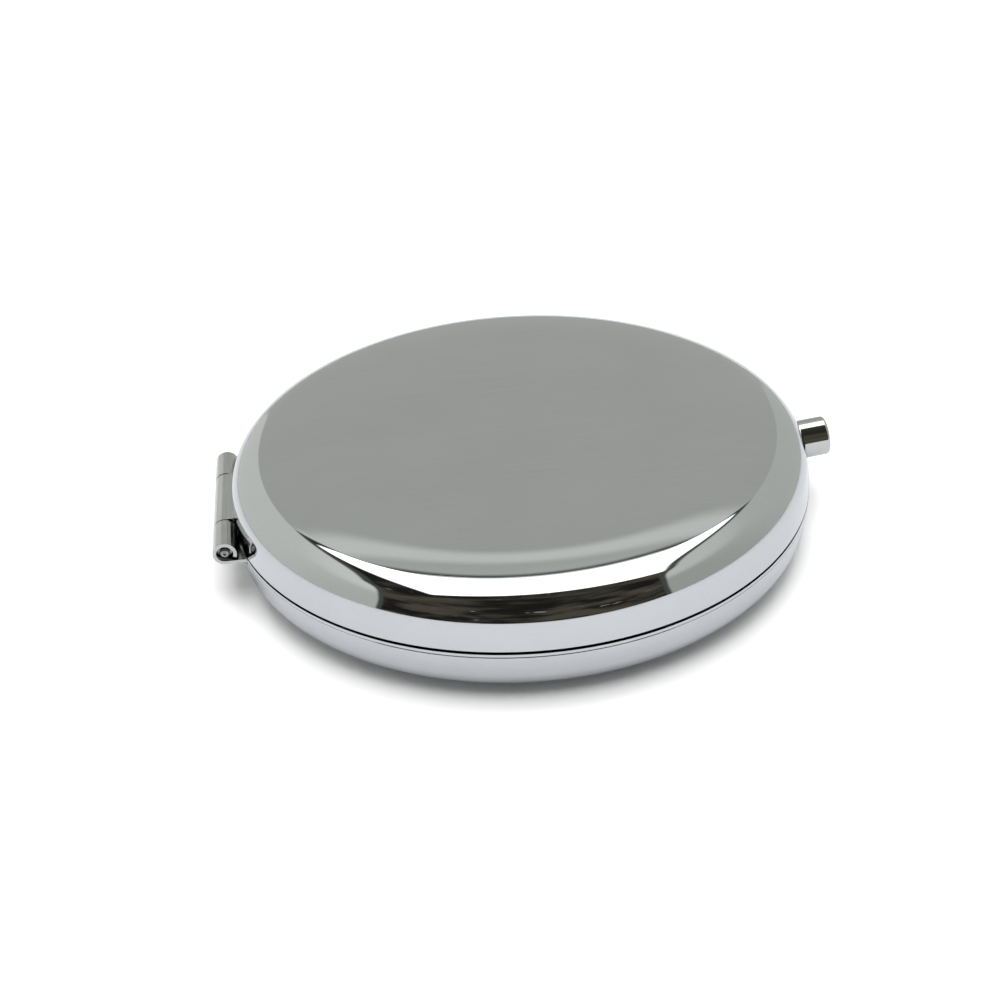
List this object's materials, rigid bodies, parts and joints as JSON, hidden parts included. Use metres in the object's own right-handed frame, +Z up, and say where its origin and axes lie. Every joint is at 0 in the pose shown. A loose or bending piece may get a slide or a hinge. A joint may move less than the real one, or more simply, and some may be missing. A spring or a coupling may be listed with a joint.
{
  "type": "push-button pill box",
  "caption": "Round flat chrome pill box whose hinged lid opens at a side push button, with a divided tray in the base and a mirror in the lid.",
  "frame": {"origin": "centre of the flat round underside that the closed box rests on", "axes": "+X from the hinge towards the push button, +Z up through the lid, +Y along the hinge pin"},
  "size_m": [0.0649, 0.06, 0.012],
  "materials": {
    "shell_chrome": "mirror-polished chrome plate on stamped steel",
    "frame_chrome": "bright chrome plate with faint drawing marks",
    "hinge_chrome": "bright nickel plate, slightly duller than the shells",
    "button_chrome": "turned and polished, chrome plated",
    "latch_steel": "stamped sheet with a light grain",
    "rivet_steel": "formed heads, satin",
    "pin_steel": "drawn wire, satin",
    "spring_wire": "hard-drawn spring wire",
    "tray_plastic": "white moulded plastic with a fine satin texture",
    "mirror_face": "silvered glass with a ground bevel",
    "adhesive_foam": "closed-cell double-sided foam"
  },
  "bodies": {
    "base": {"base_shell": "shell_chrome", "base_frame": "frame_chrome", "tray_pad": "adhesive_foam", "pill_tray": "tray_plastic", "catch_plate": "latch_steel", "catch_rivets": "rivet_steel", "hinge_leaf_base": "hinge_chrome", "hinge_rivets_base": "rivet_steel", "hinge_pin": "pin_steel"},
    "lid": {"lid_shell": "shell_chrome", "lid_frame": "frame_chrome", "mirror_pad": "adhesive_foam", "mirror_glass": "mirror_face", "hinge_leaf_lid": "hinge_chrome", "hinge_rivets_lid": "rivet_steel", "latch_bracket": "latch_steel", "latch_rivets": "rivet_steel", "button_spring": "spring_wire"},
    "push_button": {"button": "button_chrome", "button_stem": "pin_steel", "latch_slide": "latch_steel"}
  },
  "joints": [
    {"name": "lid_hinge", "type": "hinge", "parent": "base", "child": "lid", "pos_m": [-0.0306, 0, 0.0064], "axis": [0, -1, 0], "range_deg": [0, 105]},
    {"name": "button_press", "type": "slide", "parent": "lid", "child": "push_button", "axis": [-0.9954, 0, -0.0958], "range_m": [0, 0.0012], "stiffness_N_per_m": 400, "springref_m": -0.002, "deforming": ["button_spring"]}
  ]
}
